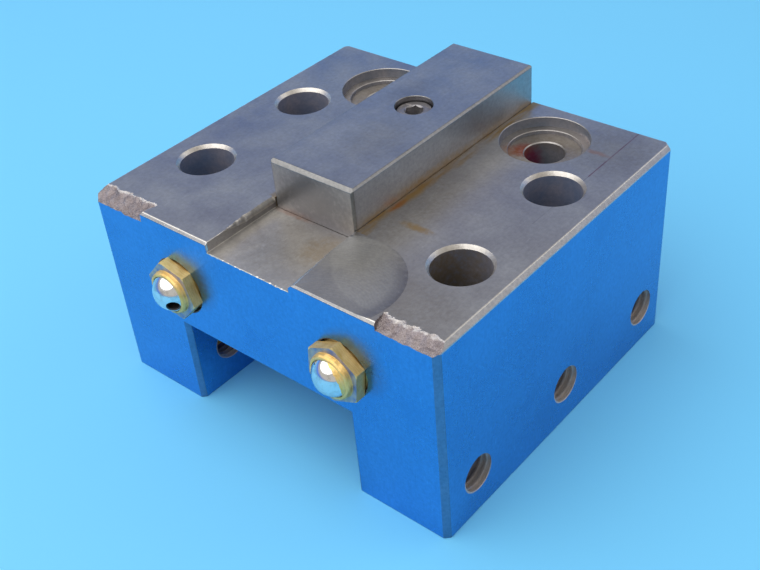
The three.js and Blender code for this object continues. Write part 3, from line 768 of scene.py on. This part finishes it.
def worn_slot_edge(side, end, width, drop, ragged, fading):
    """A top edge of the slot, rubbed down as far back as an end by an amount that varies."""
    slot, steps = SLOT_WIDTH / 2, 60
    sections = []
    for k in range(steps + 1):
        y = WEAR_START + (end - WEAR_START) * k / steps
        coarse = noise.noise(Vector((0.45 * y, 3 * side, 0)))
        fine = noise.noise(Vector((1.7 * y, 3 * side, 1)))
        wobble = ragged * (coarse + 0.5 * fine)
        wide = max(0.05, width * fading(y) + wobble)
        deep = max(0.03, drop * fading(y) + 0.5 * wobble)
        outline = [
            (slot - 1, HEIGHT - deep), (slot, HEIGHT - deep), (slot + 0.55 * wide, HEIGHT - 0.32 * deep),
            (slot + wide, HEIGHT + 0.02), (slot + wide, HEIGHT + 1), (slot - 1, HEIGHT + 1),
        ]
        sections.append([(side * x, y, z) for x, z in outline])
    return loft(sections)


def wear_of_right(y):
    """Heavy at the front face, and fading out at the wear's end."""
    return max(0.0, 1 - max(y, 0) / WEAR_END) ** 0.8


def wear_of_left(y):
    """Slight at the front face, and full for the last stretch before the key."""
    return max(0.08, min(1.0, (y - 4) / 8))


def spot_tool():
    """A shallow dish left by a hand grinder beside the slot."""
    profile = [
        (0, -SPOT_DEPTH), (SPOT_RADIUS * 0.8, -0.8 * SPOT_DEPTH), (SPOT_RADIUS * 0.96, -0.3 * SPOT_DEPTH),
        (SPOT_RADIUS, 0), (SPOT_RADIUS, BEYOND),
    ]
    return moved(lathe(profile), stand(SPOT))


def dent(bm, place, size):
    """A small dent's tool: a lumpy ball."""
    made = bmesh.ops.create_icosphere(bm, subdivisions=2, radius=1)
    for vert in made["verts"]:
        lump = 1 + 0.3 * noise.noise(vert.co * 1.5 + Vector(place))
        vert.co = Vector(place) + Vector(c * s * lump for c, s in zip(vert.co, size))


def edge_dents():
    """Small dents along the edges that meet other things, one per stretch so that none overlap."""
    between = random.Random(DENT_SEED).uniform
    bm = bmesh.new()
    half, slot = WIDTH / 2, SLOT_WIDTH / 2
    for k in range(int(SLOT_WIDTH / FLOOR_DENT_PITCH) - 1):
        x = -slot + FLOOR_DENT_PITCH * (k + 1) + between(-0.2, 0.2)
        place = (x, -0.1, SLOT_FLOOR + between(0.05, 0.25))
        dent(bm, place, (between(0.3, 0.7), between(0.25, 0.55), between(0.2, 0.45)))
    for k in range(5):
        y = 11.5 + FOOT_DENT_PITCH * k + between(-5, 5)
        for side in BOTH:
            dent(bm, (side * half, y, 0), (0.25, between(0.3, 0.8), between(0.2, 0.35)))
    for k in range(8):
        x = -29 + FRONT_DENT_PITCH * k + between(-0.4, 0.4)
        dent(bm, (x, 0.1, HEIGHT - 0.1), (between(0.25, 0.6), 0.25, between(0.2, 0.32)))
    dent(bm, (-slot + 0.1, 0.2, HEIGHT - 1.2), (0.3, 0.3, 1.1))
    for y in (20, 40, 60, 80):
        dent(bm, (-slot, y, HEIGHT), (0.2, between(0.4, 0.9), 0.2))
    return bm


def tool_block():
    outer = face_finishes()
    edge = outer[EDGE]
    bore, mouth, rim, seat, wall, thread, spot = inner_finishes()
    block = block_blank()
    paint_blank(block, outer)
    half, foot = WIDTH / 2, HEIGHT - KEY_SHANK_LENGTH
    holes = joined([bolt_hole(side * BOLT_X, y) for side in BOTH for y in BOLT_ROWS])
    cut(block, paint_hole(holes, 0, 1), bore, mouth)
    cut(block, paint_hole(joined([port_tool(side) for side in BOTH]), 0, 1, 2), wall, rim, seat)
    cut(block, joined([nozzle_tool(side) for side in BOTH]), bore)
    stud = [(0, foot - DRILL_POINT), (KEY_HOLE_RADIUS, foot), (KEY_HOLE_RADIUS, HEIGHT)]
    cut(block, moved(lathe(stud, 48), stand((0, KEY_SCREW_Y, 0))), bore)
    cut(block, spot_tool(), spot)
    right_wear = worn_slot_edge(1, WEAR_END, width=2.2, drop=1.5, ragged=0.22, fading=wear_of_right)
    left_wear = worn_slot_edge(-1, KEY_FRONT, width=0.8, drop=1.3, ragged=0.3, fading=wear_of_left)
    cut(block, joined([right_wear, left_wear]), edge)
    left_tear = rough_slab(-half - TORN_OVER, -32.2, foot=(0, HEIGHT - 2.7), head=(4.2, HEIGHT),
                           leans=(0, 1.4), seed=3)
    right_tear = rough_slab(34.2, half + TORN_OVER, foot=(0, HEIGHT - 1.6), head=(3.9, HEIGHT),
                            leans=(0.6, 0), seed=11, relief=0.24)
    cut(block, joined([left_tear, right_tear]), broken_finish())
    cut(block, edge_dents(), edge)
    for side in BOTH:
        for y in CLAMP_ROWS.values():
            cut(block, tap_tool(side, y), thread)
    finish_piece(block, "machined_block", "tool_block", "block")


# ---- key and key screw ----

def locating_key():
    half, foot, c = SLOT_WIDTH / 2 - KEY_GAP, SLOT_FLOOR + KEY_GAP, KEY_CHAMFER
    outline = mirrored([(half, foot), (half, KEY_TOP - c), (half - c, KEY_TOP)])
    key = as_object(prism(outline, KEY_FRONT, KEY_BACK, "y"))
    for y, inward, size in ((KEY_FRONT, 1, KEY_FRONT_CHAMFER), (KEY_BACK, -1, c)):
        for side in BOTH:
            cut(key, corner_wedge(side * half, y, -side, inward, c, KEY_TOP + BEYOND))
        cut(key, edge_wedge(y, inward, KEY_TOP, size, half))
    break_edges(key, KEY_EDGE_BREAK)
    edge = machined("key_edge", (0.2, 0.2, 0.2), (0.31, 0.305, 0.3), (2, 2, 2), (0.36, 0.5))
    dress(key, key_finish("ground_key", (0.28, 0.4)), key_finish("key_flank", (0.42, 0.54)), edge)
    for face in key.data.polygons:
        face.material_index = int(abs(face.normal.x) > FLAT_LIMIT) if square_on(face) else 2
    ledge = KEY_TOP - KEY_SCREW_SUNK - KEY_HEAD_HEIGHT - KEY_GAP
    eased = COUNTERBORE_RADIUS + HOLE_EASE
    profile = [
        (KEY_HOLE_RADIUS, foot - 1), (KEY_HOLE_RADIUS, ledge), (COUNTERBORE_RADIUS, ledge),
        (COUNTERBORE_RADIUS, KEY_TOP - HOLE_EASE), (eased, KEY_TOP), (eased, KEY_TOP + 1),
    ]
    bore = machined("key_bore", (0.22, 0.22, 0.24), (0.36, 0.35, 0.36), (0.3, 0.3, 4), (0.36, 0.5))
    cut(key, paint_hole(moved(lathe(profile, 72), stand((0, KEY_SCREW_Y, 0))), 0, 1), bore, edge)
    finish_piece(key, "ground_key", "locating_key", "block")


def socket_tool(flats, depth, reach=1):
    """A hexagon socket about z, from above 0 down to a drilled point."""
    blank = as_object(prism(hexagon(flats), -depth, reach))
    drill = flats * 0.47
    combine(blank, lathe([(0, -depth - 0.25 * flats), (drill, -depth + 0.02), (drill, 0)], 36), "UNION")
    mouth = [(flats * 0.5, -0.35), (flats * 0.6, 0.02), (flats * 0.6, reach)]
    combine(blank, lathe(mouth, 48), "UNION")
    return taken_back(blank)


def key_screw(oxide):
    head_top = KEY_TOP - KEY_SCREW_SUNK
    seat = head_top - KEY_HEAD_HEIGHT
    tip = seat - KEY_SHANK_LENGTH
    shank, head, crown = KEY_SHANK_RADIUS, KEY_HEAD_RADIUS, KEY_HEAD_ROUND
    rod = helix(tip - 1, KEY_SHANK_LENGTH - 1, KEY_SCREW_PITCH, shank - 0.4, shank,
                FINE_CREST, FINE_ROOT, 32)
    screw = as_object(rod)
    end = [(shank - 0.5, tip), (shank, tip + 0.5), (shank, seat - 2)]
    combine(screw, lathe(end, 48), "INTERSECT")
    cap = [
        (shank, seat - 2.5), (shank, seat), (head, seat), (head, head_top - crown),
        (head - 0.3 * crown, head_top - 0.3 * crown), (head - crown, head_top),
    ]
    combine(screw, lathe(cap, 64), "UNION")
    cut(screw, moved(socket_tool(KEY_SCREW_SOCKET, 2.5), stand((0, 0, head_top))))
    dress(screw, oxide)
    place = Matrix.Translation((0, KEY_SCREW_Y, 0))
    finish_piece(screw, "key_cap_screw", "key_screw", "block", place)


# ---- coolant nozzles ----

def brass_thread():
    """The retainer's shank, with a short plain neck behind the hexagon."""
    rod = helix(-1, SHANK_END + 3, SHANK_PITCH, SHANK_MINOR, SHANK_MAJOR, FINE_CREST, FINE_ROOT, 64)
    thread = as_object(rod)
    envelope = [
        (SHANK_CORE, -0.5), (SHANK_CORE, 0.9), (SHANK_MAJOR, 1.5), (SHANK_MAJOR, SHANK_END - 0.5),
        (SHANK_MAJOR - 0.5, SHANK_END),
    ]
    combine(thread, lathe(envelope), "INTERSECT")
    combine(thread, cylinder(SHANK_CORE, -1.5, SHANK_END - 0.4), "UNION")
    return taken_back(thread)


def peened_lip(side):
    """The lip round the ball, which is hammered over it and so a little uneven."""
    base = -HEX_THICKNESS + 0.15
    bm = lathe([
        (LIP_TIP_RADIUS - 0.1, LIP_END), (LIP_TIP_RADIUS + 0.15, LIP_END + 0.12),
        (LIP_BASE_RADIUS - 0.05, LIP_END + 0.5), (LIP_BASE_RADIUS + 0.05, -HEX_THICKNESS - 0.1),
        (LIP_BASE_RADIUS + 0.25, base),
    ])
    for vert in bm.verts:
        radius = vert.co.xy.length
        if radius > LIP_TIP_RADIUS - 0.2:
            bulge = noise.noise(vert.co * 0.55 + Vector((9 * side, 0, 0)))
            fine = noise.noise(vert.co * 2.2 + Vector((0, 5 * side, 0)))
            vert.co.xy *= 1 + (0.16 * bulge + 0.05 * fine) / radius
    return bm


def ball_cavity():
    """The hollow for the ball: narrow at the lip, widest at its middle, then straight to the back."""
    opening = degrees(acos((LIP_END - BALL_CENTRE) / BOWL_RADIUS))
    front = (BOWL_RADIUS * sin(radians(opening)), LIP_END - 1)
    back = [(SHANK_INSIDE, BALL_CENTRE + 0.5), (SHANK_INSIDE, SHANK_END + 1)]
    return lathe([front, *arc(BALL_CENTRE, BOWL_RADIUS, opening, 90, 10), *back])


def tongue_skin(radius, taper, turn, length):
    """Points on one skin of the tongue, from its root to its end, at one turn round the nozzle."""
    steps = 8
    points = []
    for j in range(steps + 1):
        tilt = radians(TONGUE_ROOT - length * j / steps)
        away = radius - taper * j / steps
        flat = away * sin(tilt)
        points.append((flat * cos(turn), flat * sin(turn), BALL_CENTRE - away * cos(tilt)))
    return points


def torn_tongue():
    """A ragged tongue of the lip that has been spread over the ball, thin and close to its surface."""
    inner, around = BALL_RADIUS + TONGUE_GAP, 60
    sections = []
    for i in range(around + 1):
        share = i / around
        turn = radians(TONGUE_START + (TONGUE_END - TONGUE_START) * share)
        coarse, fine = noise.noise(Vector((4.2 * share, 7, 0))), noise.noise(Vector((15 * share, 2, 0)))
        ragged = 0.75 + 0.35 * coarse + 0.2 * fine
        length = TONGUE_STUB + TONGUE_REACH * sin(pi * share) ** 0.7 * ragged
        over = tongue_skin(inner + TONGUE_THICKNESS, TONGUE_TAPER, turn, length)
        under = tongue_skin(inner, 0, turn, length)
        sections.append(over + under[::-1])
    return loft(sections)


def nozzle_retainer(label, side, brass):
    corner = HEX_FLATS / sqrt(3)
    # Standing the piece along +y takes its own +y to -z, so its hexagon is turned the other way.
    nut = as_object(prism(hexagon(HEX_FLATS, -HEX_TURN[label]), -HEX_THICKNESS, 0))
    crown = [
        (corner - 0.35, -HEX_THICKNESS), (corner + 0.1, -HEX_THICKNESS + 0.25), (corner + 0.1, -0.1),
        (corner - 0.1, 0),
    ]
    combine(nut, lathe(crown), "INTERSECT")
    combine(nut, brass_thread(), "UNION")
    combine(nut, peened_lip(side), "UNION")
    cut(nut, ball_cavity())
    if label == "right":
        combine(nut, torn_tongue(), "UNION")
    dress(nut, *brass)
    for face in nut.data.polygons:
        # Index 1, the blue-grey brass, goes on the hexagon's outer face as its painted reflection.
        face.material_index = int(face.normal.z < -FLAT_LIMIT and face.center.z > LIP_END + 0.5)
    finish_piece(nut, f"{label}_brass_retainer", f"{label}_nozzle_retainer", "block",
                 nozzle_stand(side), 24)


def jet_direction(side):
    yaw, pitch = radians(JET_YAW), radians(JET_PITCH)
    return Vector((-side * cos(pitch) * sin(yaw), -cos(pitch) * cos(yaw), sin(pitch)))


def nozzle_ball(label, side, polish, bore_finish):
    ball = as_object(lathe(arc(0, BALL_RADIUS, 180, 0, 48)), polish)
    length, mouth = 2 * BALL_RADIUS, JET_RADIUS + 0.3
    bore = [
        (INLET_RADIUS, -length), (INLET_RADIUS, -1), (JET_RADIUS, 0.5), (JET_RADIUS, JET_FLAT - 0.25),
        (mouth, JET_FLAT + 0.05), (mouth, length),
    ]
    place = Vector((side * PORT_X, BALL_CENTRE, PASSAGE_Z))
    aim = stand(place, jet_direction(side))
    ball.data.transform(Matrix.Translation(place))
    cut(ball, moved(cylinder(BALL_RADIUS, JET_FLAT, length, 64), aim), polish)
    cut(ball, moved(lathe(bore, 64), aim), bore_finish)
    finish_piece(ball, f"{label}_jet_ball", f"{label}_nozzle_ball", f"{label}_ball", sharp=35)


def nozzle_seat(label, side, plastic):
    rim, bore = (degrees(asin(r / BOWL_RADIUS)) for r in (SEAT_EDGE, SEAT_BORE))
    height = BALL_CENTRE + BOWL_RADIUS * cos(radians(rim))
    profile = [
        *arc(BALL_CENTRE, BOWL_RADIUS, bore, rim, 8),
        (SEAT_RADIUS - SEAT_EASE, height), (SEAT_RADIUS, height + SEAT_EASE),
        (SEAT_RADIUS, SEAT_END - SEAT_EASE), (SEAT_RADIUS - SEAT_EASE, SEAT_END),
        (SEAT_BORE + SEAT_EASE, SEAT_END), (SEAT_BORE, SEAT_END - SEAT_EASE),
    ]
    seat = as_object(lathe(profile, 72, True), plastic)
    finish_piece(seat, f"{label}_ball_seat", f"{label}_nozzle_seat", f"{label}_seat",
                 nozzle_stand(side))


def seal_ring(label, side, rubber):
    angles = [2 * pi * i / RING_SIDES for i in range(RING_SIDES)]
    profile = [(RING_RADIUS + RING_SECTION * cos(a), RING_Y + RING_SECTION * sin(a)) for a in angles]
    ring = as_object(lathe(profile, 72, True), rubber)
    finish_piece(ring, f"{label}_rubber_ring", f"{label}_nozzle_seal_ring", "block",
                 nozzle_stand(side), 60)


# ---- clamping screws ----

def clamp_screw(label, side, y, oxide):
    """A hollow-hexagon screw, whose helix is the tapped thread's own, with a gap on both flanks."""
    start, end = SCREW_SUNK, SCREW_END
    first_turn = start - 2 * CLAMP_PITCH - start % CLAMP_PITCH + FLANK_GAP * CLAMP_PITCH
    rod = helix(first_turn, SCREW_LENGTH + 6 * CLAMP_PITCH, CLAMP_PITCH, SCREW_MINOR, SCREW_MAJOR,
                TAP_CREST - 2 * FLANK_GAP, SCREW_ROOT)
    screw = as_object(rod)
    profile = [
        (SCREW_MINOR - 0.2, start), (SCREW_MAJOR, start + SCREW_CHAMFER),
        (SCREW_MAJOR, end - SCREW_CHAMFER), (SCREW_MINOR - 0.2, end),
    ]
    combine(screw, lathe(profile, 64), "INTERSECT")
    cut(screw, moved(socket_tool(SCREW_SOCKET, 5), stand((0, 0, start), (0, 0, -1))))
    well, bottom = STEM_RADIUS + 0.25, end - STEM_LENGTH
    cut(screw, lathe([(0, bottom - 0.3), (well, bottom), (well, end + 1)], 48))
    dress(screw, oxide)
    finish_piece(screw, f"{label}_set_screw", f"{label}_clamp_screw", f"{label}_screw",
                 clamp_stand(side, y))


def clamp_pad(label, side, y, brass):
    """The pad that presses the tool, and its stem, which turns in the screw's end."""
    back = SCREW_END + PAD_GAP
    front, stem_end = back + PAD_THICKNESS, back - STEM_LENGTH
    profile = [
        (STEM_RADIUS - PAD_ROUND, stem_end), (STEM_RADIUS, stem_end + PAD_ROUND), (STEM_RADIUS, back),
        (PAD_RADIUS - 0.1, back), (PAD_RADIUS, back + 0.1), (PAD_RADIUS, front - PAD_ROUND),
        (PAD_RADIUS - 0.1, front - 0.1), (PAD_RADIUS - PAD_ROUND, front),
    ]
    pad = as_object(lathe(profile, 64), brass)
    finish_piece(pad, f"{label}_brass_pad", f"{label}_clamp_pad", f"{label}_pad",
                 clamp_stand(side, y))


# ---- assembly ----

oxide = black_oxide_finish("black_oxide", (0.13, 0.13, 0.14), (0.34, 0.31, 0.29))
dusty_oxide = black_oxide_finish("dusty_oxide", (0.24, 0.235, 0.25), (0.38, 0.36, 0.365))
tool_block()
locating_key()
key_screw(dusty_oxide)
nozzle_brass = [
    brass_finish("nozzle_brass", (0.5, 5, 0.5)),
    # The hexagon's outer face: brass tinted blue-grey as a painted reflection of the blue floor.
    brass_finish("brass_blue_reflection", (0.5, 5, 0.5), (0.17, 0.22, 0.42), (0.46, 0.37, 0.31), 0.8),
]
pad_brass = brass_finish("pad_brass", (5, 0.5, 0.5))
polish = ball_finish()
# The jet bore's near-black is painted shade inside the hole.
jet_bore = machined("jet_bore", (0.05, 0.05, 0.055), (0.13, 0.12, 0.12), (2, 2, 2), (0.4, 0.6))
plastic = moulded_finish("seat_plastic", (0.72, 0.69, 0.6), (0.86, 0.83, 0.75), 0.45, 0.01)
rubber = moulded_finish("seal_rubber", (0.012, 0.012, 0.013), (0.03, 0.03, 0.03), 0.7, 0.015)
for label, side in SIDES.items():
    nozzle_retainer(label, side, nozzle_brass)
    nozzle_ball(label, side, polish, jet_bore)
    nozzle_seat(label, side, plastic)
    seal_ring(label, side, rubber)
    for row, y in CLAMP_ROWS.items():
        clamp_screw(f"{label}_{row}", side, y, oxide)
        clamp_pad(f"{label}_{row}", side, y, pad_brass)


# ---- floor, light and camera, in metres ----

FLOOR_HALF, FLOOR_BLUE = 4, (0.16, 0.55, 0.88, 1)
LIGHT_AIM = (0, 0, 0.03)
CAMERA_PLACE, CAMERA_TURN = (0.149399, -0.159731, 0.186748), (0.917975, 0.076277, 0.696133)
LENS, SENSOR_WIDTH, NEAREST, FARTHEST = 53.42, 36, 0.01, 20


def floor():
    bm = bmesh.new()
    bmesh.ops.create_grid(bm, x_segments=2, y_segments=2, size=FLOOR_HALF)
    f = Finish("pale_floor", 0.6, 0.0)
    f.shader.inputs["Base Color"].default_value = FLOOR_BLUE
    f.shader.inputs["Specular IOR Level"].default_value = 0.3
    ground = as_object(bm, f.material)
    ground.name = "floor"


def soft_light(name, place, size, power):
    light = bpy.data.lights.new(name, "AREA")
    light.shape = "ELLIPSE"
    light.size, light.size_y = size
    light.energy = power
    lamp = bpy.data.objects.new(name, light)
    lamp.location = place
    lamp.rotation_euler = (Vector(LIGHT_AIM) - Vector(place)).to_track_quat("-Z", "Y").to_euler()
    bpy.context.collection.objects.link(lamp)


def surroundings():
    """A room that is blue low down behind the left of the block, and neutral grey elsewhere."""
    world = bpy.data.worlds.new("studio")
    bpy.context.scene.world = world
    world.use_nodes = True
    nodes, links = world.node_tree.nodes, world.node_tree.links
    direction = nodes.new("ShaderNodeTexCoord").outputs["Generated"]
    rise = nodes.new("ShaderNodeVectorMath")
    rise.operation = "DOT_PRODUCT"
    rise.inputs[1].default_value = (0.2, -0.25, 1)
    links.new(direction, rise.inputs[0])
    sky = nodes.new("ShaderNodeValToRGB")
    links.new(rise.outputs["Value"], sky.inputs["Fac"])
    ramp = sky.color_ramp.elements
    ramp[0].position, ramp[0].color = 0.0, (0.22, 0.5, 0.85, 1)
    ramp[1].position, ramp[1].color = 0.35, (0.54, 0.51, 0.46, 1)
    for place, colour in ((0.12, (0.06, 0.23, 0.86, 1)), (0.25, (0.32, 0.36, 0.55, 1))):
        ramp.new(place).color = colour
    links.new(sky.outputs["Color"], nodes["Background"].inputs["Color"])
    nodes["Background"].inputs["Strength"].default_value = 1.1


def camera():
    """A camera at the object's three-quarter view from the front right."""
    lens = bpy.data.cameras.new("camera")
    lens.lens, lens.sensor_width = LENS, SENSOR_WIDTH
    lens.clip_start, lens.clip_end = NEAREST, FARTHEST
    view = bpy.data.objects.new("camera", lens)
    view.location, view.rotation_euler = CAMERA_PLACE, CAMERA_TURN
    bpy.context.collection.objects.link(view)
    bpy.context.scene.camera = view


floor()
surroundings()
soft_light("overhead", (-0.15, -0.315, 0.69), size=(1.25, 1.1), power=6.5)
soft_light("back", (0.43, 0.49, 0.49), size=(0.5, 0.4), power=0.6)
camera()
bpy.context.scene.view_settings.view_transform = "Standard"
